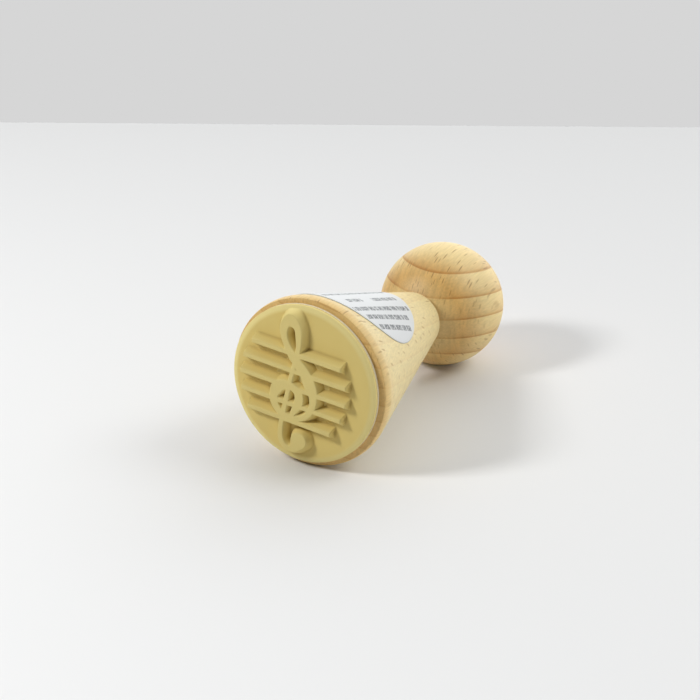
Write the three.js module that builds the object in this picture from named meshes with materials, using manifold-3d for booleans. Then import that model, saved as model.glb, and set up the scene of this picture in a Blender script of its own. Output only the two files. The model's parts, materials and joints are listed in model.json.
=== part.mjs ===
// A hand stamp with a turned beech handle, lying on its side on a flat surface.
// Millimetres, +Z up. The printing face looks along -Y and the ball of the handle points along +Y.
import * as THREE from 'three';
import { ConvexGeometry } from 'three/addons/geometries/ConvexGeometry.js';
import { mergeVertices } from 'three/addons/utils/BufferGeometryUtils.js';
import Module from 'manifold-3d';

// Turned handle, measured along its axis from the flat front face that carries the die
const RIM_DIAMETER = 33;
const LIP_WIDTH = 0.25; // how far the rounded lip turns in from the rim to the front face
const LIP_LENGTH = 1.2; // from the front face back to the widest point of the rim
const LIP_ROLL = THREE.MathUtils.degToRad(140); // how far the rounding turns before the taper starts
const TAPER_LENGTH = 38.9;
const SHOULDER_DIAMETER = 12.1; // narrow end of the taper
const SHOULDER_ROUND = 0.9; // from the end of the taper to the bottom of the neck
const NECK_DIAMETER = 10; // bottom of the groove between taper and ball
const BALL_DIAMETER = 25.8;

// Every turning has the same number of flat sides, with one side facing straight down
const SIDES = 32;
const LIP_STEPS = 7;
const SHOULDER_STEPS = 4;
const BALL_STEPS = 24;

// Die: a rubber sheet on a thin foam cushion, both bonded to the front face
const DIE_INSET = 1.1; // how far the rubber's edge stands inside the rim
const DIE_SHIFT = -0.3; // how far the die is stuck on off the handle's axis, across
const RUBBER_THICKNESS = 1.05;
const RUBBER_BEVEL_WIDTH = 1.3; // how far the bevel of the front edge reaches in over the sheet
const RUBBER_BEVEL_DEPTH = 0.35; // how far it reaches down the side
const FOAM_THICKNESS = 0.5;
const FOAM_INSET = 0.1; // how far the foam's edge stands inside the rubber's
const BOND_LINE = 0.1; // adhesive between two bonded pieces

// Raised printing design: a treble clef on a five-line staff, mirrored so that it prints the right way round
const RELIEF_HEIGHT = 1.7;
const RELIEF_FLANK = 0.8; // how far a flank spreads between its printing edge and the rubber sheet
const RELIEF_END_FLANK = 0.2; // the same at the ends of the staff lines, which are steeper
const RELIEF_ROOT = 0.45; // how far the flanks run on into the sheet, so that the two join
const DESIGN_MARGIN = 0.5; // rubber's edge that the design stays clear of
const DESIGN_TURN = THREE.MathUtils.degToRad(-5.4);
const STAFF_LINES = 5;
const STAFF_SPACING = 3.33;
const STAFF_LINE_WIDTH = 0.7;
const STAFF_REACH = 11.45; // radius of the circle that the lines' ends lie on
const STAFF_SHIFT = -1.25; // middle of the staff across from the centre of the die
const STAFF_DROP = 0.4; // middle line below the centre of the die
const CLEF_STEPS = 96;
const CLEF_ROUND_SIDES = 10;

// The clef's pen stroke in staff spaces: across, up from the middle line, and the stroke's width there
const CLEF_STROKE = [
  [-0.16, -1.54, 0.25],
  [0.1, -0.94, 0.48],
  [0.16, -0.59, 0.51],
  [0.03, -0.17, 0.48],
  [-0.29, 0.02, 0.41],
  [-0.63, 0.08, 0.46],
  [-1.02, -0.02, 0.57],
  [-1.33, -0.3, 0.67],
  [-1.48, -0.78, 0.48],
  [-1.37, -1.25, 0.43],
  [-1.05, -1.6, 0.35],
  [-0.51, -1.79, 0.29],
  [0.06, -1.76, 0.27],
  [0.57, -1.54, 0.29],
  [0.89, -1.16, 0.32],
  [1.05, -0.59, 0.38],
  [0.94, 0.14, 0.57],
  [0.68, 0.56, 0.73],
  [0.35, 1.05, 0.63],
  [-0.1, 1.48, 0.56],
  [-0.57, 1.9, 0.51],
  [-0.98, 2.4, 0.38],
  [-1.22, 2.87, 0.38],
  [-1.3, 3.32, 0.46],
  [-1.19, 3.7, 0.52],
  [-0.91, 3.92, 0.68],
  [-0.55, 3.71, 0.46],
  [-0.38, 3.44, 0.4],
  [-0.3, 2.97, 0.33],
  [-0.25, 2.33, 0.24],
  [-0.49, 0.75, 0.22],
  [-0.71, -1.25, 0.25],
  [-0.83, -2.43, 0.25],
  [-0.76, -3.16, 0.27],
  [-0.54, -3.54, 0.29],
  [-0.19, -3.7, 0.3],
  [0.16, -3.57, 0.44],
  [0.41, -3.06, 0.95],
];

// Round paper label wrapped over the top of the taper
const LABEL_DIAMETER = 27.5;
const LABEL_THICKNESS = 0.2;
const LABEL_MARGIN = 0.75; // bare wood between the start of the taper and the label
const LABEL_TURN = THREE.MathUtils.degToRad(2.75); // how far the label is turned off the top of the handle
const LABEL_RINGS = 7;
const LABEL_SPOKES = 44;

const rimRadius = RIM_DIAMETER / 2;
const faceRadius = rimRadius - LIP_WIDTH;
const dieRadius = rimRadius - DIE_INSET;
const neckRadius = NECK_DIAMETER / 2;
const ballRadius = BALL_DIAMETER / 2;

// Evenly spaced numbers from one value to another, both ends included
function spread(from, to, steps) {
  return Array.from({ length: steps + 1 }, (_, i) => from + ((to - from) * i) / steps);
}

// The taper runs from the end of the lip's rounding to the shoulder
const taperStart = {
  radius: faceRadius + LIP_WIDTH * Math.sin(LIP_ROLL),
  along: LIP_LENGTH * (1 - Math.cos(LIP_ROLL)),
};
const taperEnd = { radius: SHOULDER_DIAMETER / 2, along: taperStart.along + TAPER_LENGTH };
const neckAlong = taperEnd.along + SHOULDER_ROUND;
const ballCentre = neckAlong + Math.sqrt(ballRadius ** 2 - neckRadius ** 2);

// Radius of the taper at a distance along the axis
function taperRadius(along) {
  const share = (along - taperStart.along) / TAPER_LENGTH;
  return taperStart.radius + (taperEnd.radius - taperStart.radius) * share;
}

// A solid of revolution about the Y axis from a profile of radius and distance along the axis
function turned(profile) {
  return new THREE.LatheGeometry(profile, SIDES, Math.PI / SIDES);
}

const lipProfile = spread(0, LIP_ROLL, LIP_STEPS).map(
  (turn) =>
    new THREE.Vector2(faceRadius + LIP_WIDTH * Math.sin(turn), LIP_LENGTH * (1 - Math.cos(turn))),
);
const taperProfile = [new THREE.Vector2(taperEnd.radius, taperEnd.along)];
const shoulderProfile = spread(0, Math.PI / 2, SHOULDER_STEPS)
  .slice(1)
  .map(
    (turn) =>
      new THREE.Vector2(
        neckRadius + (taperEnd.radius - neckRadius) * Math.cos(turn),
        taperEnd.along + SHOULDER_ROUND * Math.sin(turn),
      ),
  );
const ballProfile = spread(-Math.acos(neckRadius / ballRadius), Math.PI / 2, BALL_STEPS)
  .slice(1, -1)
  .map(
    (turn) => new THREE.Vector2(ballRadius * Math.cos(turn), ballCentre + ballRadius * Math.sin(turn)),
  );

function handleGeometry() {
  return turned([
    new THREE.Vector2(0, 0),
    ...lipProfile,
    ...taperProfile,
    ...shoulderProfile,
    ...ballProfile,
    new THREE.Vector2(0, ballCentre + ballRadius),
  ]);
}

// Thin foam disc between the wood and the rubber
function foamGeometry() {
  const radius = dieRadius - FOAM_INSET;
  return turned([
    new THREE.Vector2(0, 0),
    new THREE.Vector2(radius, 0),
    new THREE.Vector2(radius, FOAM_THICKNESS),
    new THREE.Vector2(0, FOAM_THICKNESS),
  ]);
}

const wasm = await Module();
wasm.setup();

// Turns a closed three.js geometry into a solid that can be joined to others
function solid(geometry) {
  const bare = geometry.clone();
  bare.deleteAttribute('normal');
  bare.deleteAttribute('uv');
  const merged = mergeVertices(bare);
  return new wasm.Manifold(
    new wasm.Mesh({
      numProp: 3,
      vertProperties: new Float32Array(merged.attributes.position.array),
      triVerts: new Uint32Array(merged.index.array),
    }),
  );
}

function toGeometry(joined) {
  const mesh = joined.getMesh();
  const geometry = new THREE.BufferGeometry();
  geometry.setAttribute('position', new THREE.BufferAttribute(mesh.vertProperties, mesh.numProp));
  geometry.setIndex(new THREE.BufferAttribute(mesh.triVerts, 1));
  geometry.computeVertexNormals();
  return geometry;
}

// The design lies in the XY plane with +Z out of the rubber. Each raised line is a flat printing top
// whose flanks spread down into the rubber sheet.
const reliefTop = RUBBER_THICKNESS + RELIEF_HEIGHT;
const reliefFoot = RUBBER_THICKNESS - RELIEF_ROOT;
const rootShare = (RELIEF_HEIGHT + RELIEF_ROOT) / RELIEF_HEIGHT;
const footSpread = RELIEF_FLANK * rootShare;
const endSpread = RELIEF_END_FLANK * rootShare;

// A straight staff line with square ends
function staffLine(up) {
  const halfLength = Math.sqrt(STAFF_REACH ** 2 - up ** 2);
  const corners = [-1, 1].flatMap((endways) =>
    [-1, 1].flatMap((sideways) =>
      [
        [0, 0, reliefTop],
        [endSpread, footSpread, reliefFoot],
      ].map(
        ([lengthen, widen, level]) =>
          new THREE.Vector3(
            STAFF_SHIFT + endways * (halfLength + lengthen),
            up + sideways * (STAFF_LINE_WIDTH / 2 + widen),
            level,
          ),
      ),
    ),
  );
  return new ConvexGeometry(corners);
}

// The cone-shaped dab that a round pen of a given width leaves at one point
function dab(point) {
  return [
    [point.z / 2, reliefTop],
    [point.z / 2 + footSpread, reliefFoot],
  ].flatMap(([radius, level]) =>
    spread(0, 2 * Math.PI, CLEF_ROUND_SIDES)
      .slice(1)
      .map(
        (turn) =>
          new THREE.Vector3(
            point.x + radius * Math.cos(turn),
            point.y + radius * Math.sin(turn),
            level,
          ),
      ),
  );
}

// Short lengths of the clef's stroke, each the hull of two dabs. The curve's third coordinate is the width.
function clefLengths() {
  const points = CLEF_STROKE.map(
    ([across, up, width]) =>
      new THREE.Vector3(
        across * STAFF_SPACING,
        up * STAFF_SPACING - STAFF_DROP,
        width * STAFF_SPACING,
      ),
  );
  const dabs = new THREE.CatmullRomCurve3(points, false, 'centripetal').getSpacedPoints(CLEF_STEPS).map(dab);
  return dabs.slice(1).map((next, i) => new ConvexGeometry([...dabs[i], ...next]));
}

function rubberGeometry() {
  const sheet = turned([
    new THREE.Vector2(0, 0),
    new THREE.Vector2(dieRadius, 0),
    new THREE.Vector2(dieRadius, RUBBER_THICKNESS - RUBBER_BEVEL_DEPTH),
    new THREE.Vector2(dieRadius - RUBBER_BEVEL_WIDTH, RUBBER_THICKNESS),
    new THREE.Vector2(0, RUBBER_THICKNESS),
  ]).rotateX(Math.PI / 2);
  const trimRadius = dieRadius - DESIGN_MARGIN;
  const trim = turned([
    new THREE.Vector2(0, 0),
    new THREE.Vector2(trimRadius, 0),
    new THREE.Vector2(trimRadius, reliefTop + RELIEF_ROOT),
    new THREE.Vector2(0, reliefTop + RELIEF_ROOT),
  ]).rotateX(Math.PI / 2);
  const halfStaff = (STAFF_SPACING * (STAFF_LINES - 1)) / 2;
  const lines = spread(-halfStaff, halfStaff, STAFF_LINES - 1).map((up) => staffLine(up - STAFF_DROP));
  const raised = [...lines, ...clefLengths()].map(solid).reduce((whole, length) => whole.add(length));
  return toGeometry(solid(sheet).add(raised.intersect(solid(trim))));
}

// The label is a flat round disc bent over the taper: distances on the paper stay true on the wood.
function labelGeometry() {
  const radius = LABEL_DIAMETER / 2;
  const out = spread(0, radius, LABEL_RINGS);
  const flat = new THREE.LatheGeometry(
    [
      ...out.map((r) => new THREE.Vector2(r, BOND_LINE)),
      ...out.reverse().map((r) => new THREE.Vector2(r, BOND_LINE + LABEL_THICKNESS)),
    ],
    LABEL_SPOKES,
  );
  const slope = Math.atan2(taperStart.radius - taperEnd.radius, TAPER_LENGTH);
  const apex = taperStart.along + taperStart.radius / Math.tan(slope);
  const fromApex = taperStart.radius / Math.sin(slope) - LABEL_MARGIN - radius;
  const place = flat.attributes.position;
  for (let i = 0; i < place.count; i += 1) {
    const down = fromApex + place.getZ(i);
    const slant = Math.hypot(down, place.getX(i));
    const turn = LABEL_TURN + Math.atan2(place.getX(i), down) / Math.sin(slope);
    const along = apex - slant * Math.cos(slope) + place.getY(i) * Math.sin(slope);
    const reach = taperRadius(along) + place.getY(i) / Math.cos(slope);
    place.setXYZ(i, reach * Math.sin(turn), along, reach * Math.cos(turn));
  }
  return flat;
}

// The tilt at which the rim and the ball both touch the table, found by halving the range it must lie in
function restingTilt() {
  const flat = Math.cos(Math.PI / SIDES);
  const steepest = Math.PI / 4;
  const halvings = 50;
  const depth = (profile, tilt) =>
    Math.max(...profile.map((p) => p.x * flat * Math.cos(tilt) + p.y * Math.sin(tilt)));
  const rim = [...lipProfile, ...taperProfile];
  let low = -steepest;
  let high = steepest;
  for (let i = 0; i < halvings; i += 1) {
    const tilt = (low + high) / 2;
    if (depth(rim, tilt) > depth(ballProfile, tilt)) low = tilt;
    else high = tilt;
  }
  return low;
}

function piece(name, geometry, color, roughness) {
  const mesh = new THREE.Mesh(
    geometry,
    new THREE.MeshStandardMaterial({ color, roughness, metalness: 0 }),
  );
  mesh.name = name;
  return mesh;
}

const handle = piece('handle', handleGeometry(), '#dcc08a', 0.5);
const foam = piece('foam_cushion', foamGeometry(), '#ece8da', 0.9);
const rubber = piece('rubber_die', rubberGeometry(), '#c0aa68', 0.7);
const label = piece('label', labelGeometry(), '#dcdee0', 0.6);

foam.position.set(DIE_SHIFT, -BOND_LINE - FOAM_THICKNESS, 0);
rubber.position.set(DIE_SHIFT, foam.position.y - BOND_LINE, 0);
rubber.rotation.set(Math.PI / 2, 0, DESIGN_TURN);

const stamp = new THREE.Group();
stamp.add(handle, foam, rubber, label);
stamp.rotation.x = -restingTilt();

// The origin is on the table under the middle of the stamp
const box = new THREE.Box3().setFromObject(stamp, true);
const middle = box.getCenter(new THREE.Vector3());
stamp.position.set(-middle.x, -middle.y, -box.min.z);

export default stamp;
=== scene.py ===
import json
import math

import bmesh
import bpy
import numpy as np
from bpy.props import FloatProperty, FloatVectorProperty, IntProperty, PointerProperty
from mathutils import Matrix, Vector


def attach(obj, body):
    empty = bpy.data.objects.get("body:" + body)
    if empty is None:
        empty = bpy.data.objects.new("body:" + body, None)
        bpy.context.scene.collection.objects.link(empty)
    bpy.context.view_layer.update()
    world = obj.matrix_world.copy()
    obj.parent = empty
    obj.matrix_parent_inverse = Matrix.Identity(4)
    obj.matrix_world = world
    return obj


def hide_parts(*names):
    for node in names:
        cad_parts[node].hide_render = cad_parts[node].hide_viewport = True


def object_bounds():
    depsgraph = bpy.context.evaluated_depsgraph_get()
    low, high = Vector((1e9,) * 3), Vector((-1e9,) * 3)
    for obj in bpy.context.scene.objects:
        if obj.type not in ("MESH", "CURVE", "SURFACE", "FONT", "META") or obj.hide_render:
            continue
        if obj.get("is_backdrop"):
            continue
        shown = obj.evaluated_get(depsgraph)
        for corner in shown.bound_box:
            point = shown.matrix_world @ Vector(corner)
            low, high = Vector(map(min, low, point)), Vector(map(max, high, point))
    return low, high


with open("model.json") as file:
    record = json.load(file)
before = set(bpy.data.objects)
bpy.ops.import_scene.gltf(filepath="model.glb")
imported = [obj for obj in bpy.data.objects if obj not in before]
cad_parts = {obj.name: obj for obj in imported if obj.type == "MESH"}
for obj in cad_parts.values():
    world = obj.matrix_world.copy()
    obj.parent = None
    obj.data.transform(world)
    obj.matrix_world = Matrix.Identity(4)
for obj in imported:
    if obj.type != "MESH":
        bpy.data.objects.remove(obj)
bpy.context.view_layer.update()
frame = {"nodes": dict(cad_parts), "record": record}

bl_info = {
    "name": "Wooden Hand Stamp",
    "version": (1, 0, 0),
    "blender": (4, 5, 0),
    "location": "3D View > Sidebar > Hand Stamp",
    "description": "Builds a turned beech hand stamp with a rubber treble clef die and a paper label",
    "category": "Add Mesh",
}

MM = 0.001
BODY = "root"

# The clef's pen stroke in staff spaces, as it lies on the die: across, up from the middle line, and width
CLEF_STROKE = (
    (-0.16, -1.54, 0.25),
    (0.1, -0.94, 0.48),
    (0.16, -0.59, 0.51),
    (0.03, -0.17, 0.48),
    (-0.29, 0.02, 0.41),
    (-0.63, 0.08, 0.46),
    (-1.02, -0.02, 0.57),
    (-1.33, -0.3, 0.67),
    (-1.48, -0.78, 0.48),
    (-1.37, -1.25, 0.43),
    (-1.05, -1.6, 0.35),
    (-0.51, -1.79, 0.29),
    (0.06, -1.76, 0.27),
    (0.57, -1.54, 0.29),
    (0.89, -1.16, 0.32),
    (1.05, -0.59, 0.38),
    (0.94, 0.14, 0.57),
    (0.68, 0.56, 0.73),
    (0.35, 1.05, 0.63),
    (-0.1, 1.48, 0.56),
    (-0.57, 1.9, 0.51),
    (-0.98, 2.4, 0.38),
    (-1.22, 2.87, 0.38),
    (-1.3, 3.32, 0.46),
    (-1.19, 3.7, 0.52),
    (-0.91, 3.92, 0.68),
    (-0.55, 3.71, 0.46),
    (-0.38, 3.44, 0.4),
    (-0.3, 2.97, 0.33),
    (-0.25, 2.33, 0.24),
    (-0.49, 0.75, 0.22),
    (-0.71, -1.25, 0.25),
    (-0.83, -2.43, 0.25),
    (-0.76, -3.16, 0.27),
    (-0.54, -3.54, 0.29),
    (-0.19, -3.7, 0.3),
    (0.16, -3.57, 0.44),
    (0.41, -3.06, 0.95),
)
CLEF_DABS_PER_STRETCH = 30

# Rows of grey print on the label in millimetres from its centre: across, and from and to along the handle
PRINTED_ROWS = (
    (-11.2, -7.2, 7.4),
    (-8.95, -9.4, 9.6),
    (-6.55, -11.6, 11.4),
    (-3.7, -12.2, 12.0),
    (-0.9, -12.4, 12.2),
    (2.75, -11.0, -0.9),
    (2.75, 3.3, 9.2),
    (5.8, -11.7, 11.7),
    (8.1, -8.7, 9.6),
    (10.5, -7.2, 7.7),
)


def linear(hex_colour):
    """Linear red, green and blue of an sRGB hex colour."""
    shares = [int(hex_colour[i:i + 2], 16) / 255 for i in (1, 3, 5)]
    return tuple(s / 12.92 if s <= 0.04045 else ((s + 0.055) / 1.055) ** 2.4 for s in shares)


def length(name, description, millimetres):
    """A size that a user can change, given in millimetres and kept in metres."""
    return FloatProperty(
        name=name, description=description, default=millimetres * MM, unit="LENGTH", precision=5
    )


def angle(name, description, degrees):
    """An angle that a user can change, given in degrees and kept in radians."""
    return FloatProperty(name=name, description=description, default=math.radians(degrees), unit="ROTATION")


def count(name, description, number):
    """A whole number that a user can change."""
    return IntProperty(name=name, description=description, default=number, min=1)


def colour(name, description, hex_colour):
    """A colour that a user can change, given as an sRGB hex value and kept linear."""
    return FloatVectorProperty(
        name=name, description=description, default=linear(hex_colour), min=0, max=1, subtype="COLOR"
    )


class HandStampHandle(bpy.types.PropertyGroup):
    """The turned handle, measured along its axis from the flat front face that carries the die."""

    rim_diameter: length("Rim diameter", "Widest point of the flared end", 33)
    lip_width: length("Lip width", "From the rim in to the front face", 0.25)
    lip_length: length("Lip length", "From the front face back to the widest point", 1.2)
    lip_roll: angle("Lip roll", "How far the rounding turns before the taper starts", 140)
    taper_length: length("Taper length", "From the lip to the shoulder", 38.9)
    shoulder_diameter: length("Shoulder diameter", "Narrow end of the taper", 12.1)
    shoulder_round: length("Shoulder round", "From the end of the taper to the neck", 0.9)
    neck_diameter: length("Neck diameter", "Bottom of the groove between taper and ball", 10)
    ball_diameter: length("Ball diameter", "Ball that the fingers hold", 25.8)
    segments: count("Segments", "Steps around the turning", 224)
    first_ring: length("First ring", "Radius of the first growth ring, and all rings have its area", 18.41)
    pale_wood: colour("Pale wood", "Early growth of each ring on the taper", "#E8D6A0")
    # Partly the ball's own more orange early wood, partly painted light: it is lighter than the taper's
    ball_wood_lit: colour("Ball wood", "Early growth of each ring on the ball", "#F6DB9A")
    ring_wood: colour("Ring wood", "Late growth at the end of each ring", "#CB9446")
    end_grain: colour("End grain", "Tint of the ball where the fibres are cut across", "#DDB466")
    # Painted shade next to the die, in the lip's orange end-grain tone
    rim_shade_wood: colour("Rim shade wood", "Burnished lip round the die", "#EABD6C")
    ray_wood: colour("Ray flecks", "Short dark rays of the beech", "#A67C43")


class HandStampDie(bpy.types.PropertyGroup):
    """The rubber die and the foam behind it."""

    inset: length("Inset", "How far the rubber's edge stands inside the rim", 1.1)
    shift: length("Shift", "How far the die is stuck on off the handle's axis, across", -0.3)
    rubber_thickness: length("Rubber thickness", "Sheet below the raised design", 1.05)
    bevel_width: length("Bevel width", "How far the bevel of the front edge reaches in", 1.3)
    bevel_depth: length("Bevel depth", "How far the bevel of the front edge reaches down", 0.35)
    foam_thickness: length("Foam thickness", "Foam with the adhesive on both its faces", 0.7)
    foam_inset: length("Foam inset", "How far the foam's edge stands inside the rubber's", 0.1)
    relief_height: length("Relief height", "From the sheet to the printing tops", 1.7)
    relief_flank: length("Relief flank", "Spread of a flank below its printing edge", 0.8)
    end_flank: length("End flank", "The same at the ends of the staff lines", 0.2)
    relief_wear: length("Relief wear", "Rounding of the printing edges", 0.08)
    design_margin: length("Design margin", "Rubber's edge that the design stays clear of", 0.5)
    design_turn: angle("Design turn", "How far the design is turned on the handle", -5.4)
    staff_lines: count("Staff lines", "Lines of the staff", 5)
    staff_spacing: length("Staff spacing", "Between the middles of two lines", 3.33)
    staff_line_width: length("Staff line width", "Printing top of one line", 0.7)
    staff_reach: length("Staff reach", "Radius of the circle that the lines' ends lie on", 11.45)
    staff_shift: length("Staff shift", "Middle of the staff across from the centre of the die", -1.25)
    staff_drop: length("Staff drop", "Middle line below the centre of the die", 0.4)
    cells: count("Cells", "Cells across the die's face", 280)
    rubber: colour("Rubber", "Natural rubber", "#E3CF84")
    rubber_deep: colour("Deep rubber", "Sheet around the design", "#E3C977")
    # Painted shade: the colour that the narrow valleys are darkened towards
    painted_hollow_shade: colour("Painted valley shade", "Narrow valleys of the design", "#AE8F45")
    # Partly the paler trimmed edge, partly painted light that the bevel catches
    rubber_edge_lit: colour("Edge rubber painted lit", "Trimmed edge of the rubber", "#EDDB92")
    foam: colour("Foam", "Mounting foam", "#F4EACB")


class HandStampLabel(bpy.types.PropertyGroup):
    """The round paper label wrapped over the taper."""

    diameter: length("Diameter", "Round label, measured flat", 27.5)
    thickness: length("Thickness", "Paper and adhesive", 0.16)
    margin: length("Margin", "Bare wood between the start of the taper and the label", 0.75)
    turn: angle("Turn", "How far the label is turned off the top of the handle", 2.75)
    cells: count("Cells", "Cells across the label", 96)
    row_height: length("Row height", "Height of a printed row", 1.15)
    bar_length: length("Bar length", "Usual length of a printed bar", 2.4)
    paper: colour("Paper", "Coated white paper", "#D6D8D9")
    print_grey: colour("Print", "Grey print", "#5B6064")


class HandStampStage(bpy.types.PropertyGroup):
    """Floor, light and camera."""

    floor: colour("Floor", "Plain pale floor", "#E9E9E9")
    surround: colour("Surround", "Plain grey beyond the floor's far edge", "#D6D6D6")
    daylight: colour("Daylight", "Light from behind and from the right", "#FEFFFF")
    daylight_strength: FloatProperty(name="Daylight strength", description="From behind", default=1.87)
    daylight_focus: FloatProperty(name="Daylight focus", description="How fast it fades", default=2)
    lamplight: colour("Lamplight", "Light from the left", "#FFFFFF")
    floor_size: length("Floor size", "Length of the floor's far edge", 4000)
    far_edge: length("Far edge", "From under the stamp to the floor's far edge", 186.3)
    far_edge_turn: angle("Far edge turn", "Direction of the far edge, from the X axis", 28.74)
    azimuth: angle("Azimuth", "Camera's direction round the stamp", 30.12)
    elevation: angle("Elevation", "Camera's height above the floor, as an angle", 24.38)
    distance: length("Distance", "From the camera to the point it aims at", 359.21)
    lens: FloatProperty(name="Lens", description="On a 36 mm sensor", default=92.57, unit="CAMERA")


class HandStampSettings(bpy.types.PropertyGroup):
    """Everything that a user can change."""

    handle: PointerProperty(type=HandStampHandle)
    die: PointerProperty(type=HandStampDie)
    label: PointerProperty(type=HandStampLabel)
    stage: PointerProperty(type=HandStampStage)


def add(tree, kind, wires=None, **settings):
    """Adds a node with its settings, and sets or links its inputs, each given by name or number.

    A node that is given as an input's value stands for its first output.
    """
    node = tree.nodes.new(kind)
    for name, value in settings.items():
        setattr(node, name, value)
    for key, value in (wires or {}).items():
        if isinstance(value, bpy.types.Node):
            value = value.outputs[0]
        if isinstance(value, bpy.types.NodeSocket):
            tree.links.new(value, node.inputs[key])
        else:
            node.inputs[key].default_value = value
    return node


def stamp_place():
    """The turning's own frame: its origin is the front face's centre, and the handle runs along its +Y."""
    along = -Vector(frame["record"]["mounts"][0]["axis"])
    corners = [v.co for v in frame["nodes"]["handle"].data.vertices]
    tip = max(corners, key=along.dot)
    front = tip - along * (along.dot(tip) - min(along.dot(c) for c in corners))
    across = Vector((1, 0, 0))
    turn = Matrix((across, along, across.cross(along))).transposed().to_4x4()
    return Matrix.Translation(front) @ turn


def taper_ends(handle):
    """Radius and distance along the axis at the start and the end of the taper."""
    face = handle.rim_diameter / 2 - handle.lip_width
    start = handle.lip_length * (1 - math.cos(handle.lip_roll))
    return (
        (face + handle.lip_width * math.sin(handle.lip_roll), start),
        (handle.shoulder_diameter / 2, start + handle.taper_length),
    )


def taper_radius(handle, along):
    """Radius of the taper at a distance along the axis."""
    (wide, start), (narrow, _) = taper_ends(handle)
    return wide + (narrow - wide) * (along - start) / handle.taper_length


def handle_profile(handle):
    """Radius and distance along the axis, from the front face's centre to the tip of the ball."""
    lip_steps, taper_steps, shoulder_steps, ball_steps = 28, 90, 14, 150
    face = handle.rim_diameter / 2 - handle.lip_width
    _, (shoulder, taper_end) = taper_ends(handle)
    neck = handle.neck_diameter / 2
    ball = handle.ball_diameter / 2
    neck_along = taper_end + handle.shoulder_round
    ball_centre = neck_along + math.sqrt(ball ** 2 - neck ** 2)

    roll = np.linspace(0, handle.lip_roll, lip_steps)
    lip = np.column_stack((face + handle.lip_width * np.sin(roll), handle.lip_length * (1 - np.cos(roll))))
    taper_along = np.linspace(lip[-1, 1], taper_end, taper_steps)[1:]
    taper = np.column_stack((taper_radius(handle, taper_along), taper_along))
    roll = np.linspace(0, math.pi / 2, shoulder_steps)[1:]
    shoulder_curve = np.column_stack(
        (neck + (shoulder - neck) * np.cos(roll), taper_end + handle.shoulder_round * np.sin(roll))
    )
    roll = np.linspace(-math.acos(neck / ball), math.pi / 2, ball_steps)[1:-1]
    ball_curve = np.column_stack((ball * np.cos(roll), ball_centre + ball * np.sin(roll)))
    return np.vstack(((0, 0), lip, taper, shoulder_curve, ball_curve, (0, ball_centre + ball)))


def foam_profile(handle, die):
    """Outline of the foam disc, whose cut edge bulges a little under the pressure of the rubber."""
    edge_steps = 10
    bulge = die.foam_inset
    radius = handle.rim_diameter / 2 - die.inset - die.foam_inset
    roll = np.linspace(-1, 1, edge_steps)
    edge = np.column_stack((radius + bulge * (1 - roll ** 2), (roll - 1) * die.foam_thickness / 2))
    return np.vstack(((0, -die.foam_thickness), edge, (0, 0)))


def outline_object(name, profile):
    """A bare chain of points that the turning tree reads its rings from."""
    mesh = bpy.data.meshes.new(name)
    steps = range(len(profile) - 1)
    mesh.from_pydata([(r, a, 0) for r, a in profile], [(i, i + 1) for i in steps], [])
    return bpy.data.objects.new(name, mesh)


def new_tree(name, inputs):
    """A geometry node tree that gives back one shape, and its named inputs."""
    tree = bpy.data.node_groups.new(name, "GeometryNodeTree")
    for title, kind in inputs:
        tree.interface.new_socket(name=title, in_out="INPUT", socket_type="NodeSocket" + kind)
    tree.interface.new_socket(name="Shape", in_out="OUTPUT", socket_type="NodeSocketGeometry")
    return tree, add(tree, "NodeGroupInput").outputs


def end_tree(tree, shape, finish):
    """Shades a tree's shape smooth, makes it real and gives it its material."""
    smooth = add(tree, "GeometryNodeSetShadeSmooth", {"Geometry": shape})
    real = add(tree, "GeometryNodeRealizeInstances", {"Geometry": smooth})
    finished = add(tree, "GeometryNodeSetMaterial", {"Geometry": real, "Material": finish})
    add(tree, "NodeGroupOutput", {0: finished})


def turning_tree():
    """Geometry nodes: a grid whose rows are the profile's points and whose columns go round the axis."""
    tree, given = new_tree(
        "turned on a lathe", (("Profile", "Object"), ("Segments", "Int"), ("Finish", "Material"))
    )
    profile = add(tree, "GeometryNodeObjectInfo", {"Object": given["Profile"]}).outputs["Geometry"]
    rows = add(tree, "GeometryNodeAttributeDomainSize", {"Geometry": profile}).outputs["Point Count"]
    columns = add(tree, "ShaderNodeMath", {0: given["Segments"], 1: 1}, operation="ADD")
    grid = add(
        tree,
        "GeometryNodeMeshGrid",
        {"Size X": 1, "Size Y": 1, "Vertices X": columns, "Vertices Y": rows},
    )
    place = add(tree, "GeometryNodeInputPosition")
    flat = add(tree, "ShaderNodeSeparateXYZ", {0: place}).outputs
    turn = add(tree, "ShaderNodeMath", {0: flat["X"], 1: 2 * math.pi}, operation="MULTIPLY")
    last_row = add(tree, "ShaderNodeMath", {0: rows, 1: 1}, operation="SUBTRACT")
    gone = add(tree, "ShaderNodeMath", {0: flat["Y"], 1: 0.5}, operation="ADD")
    row = add(tree, "ShaderNodeMath", {0: gone, 1: last_row}, operation="MULTIPLY")
    whole_row = add(tree, "FunctionNodeFloatToInt", {0: row}, rounding_mode="ROUND")
    point = add(
        tree,
        "GeometryNodeSampleIndex",
        {"Geometry": profile, "Value": place, "Index": whole_row},
        data_type="FLOAT_VECTOR",
    )
    outline = add(tree, "ShaderNodeSeparateXYZ", {0: point}).outputs
    sine = add(tree, "ShaderNodeMath", {0: turn}, operation="SINE")
    cosine = add(tree, "ShaderNodeMath", {0: turn}, operation="COSINE")
    sideways = add(tree, "ShaderNodeMath", {0: outline["X"], 1: sine}, operation="MULTIPLY")
    upwards = add(tree, "ShaderNodeMath", {0: outline["X"], 1: cosine}, operation="MULTIPLY")
    turned = add(tree, "ShaderNodeCombineXYZ", {"X": sideways, "Y": outline["Y"], "Z": upwards})
    wrapped = add(
        tree, "GeometryNodeSetPosition", {"Geometry": grid.outputs["Mesh"], "Position": turned}
    )
    seam = 0.001 * MM
    closed = add(tree, "GeometryNodeMergeByDistance", {"Geometry": wrapped, "Distance": seam})
    end_tree(tree, closed, given["Finish"])
    return tree


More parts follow.
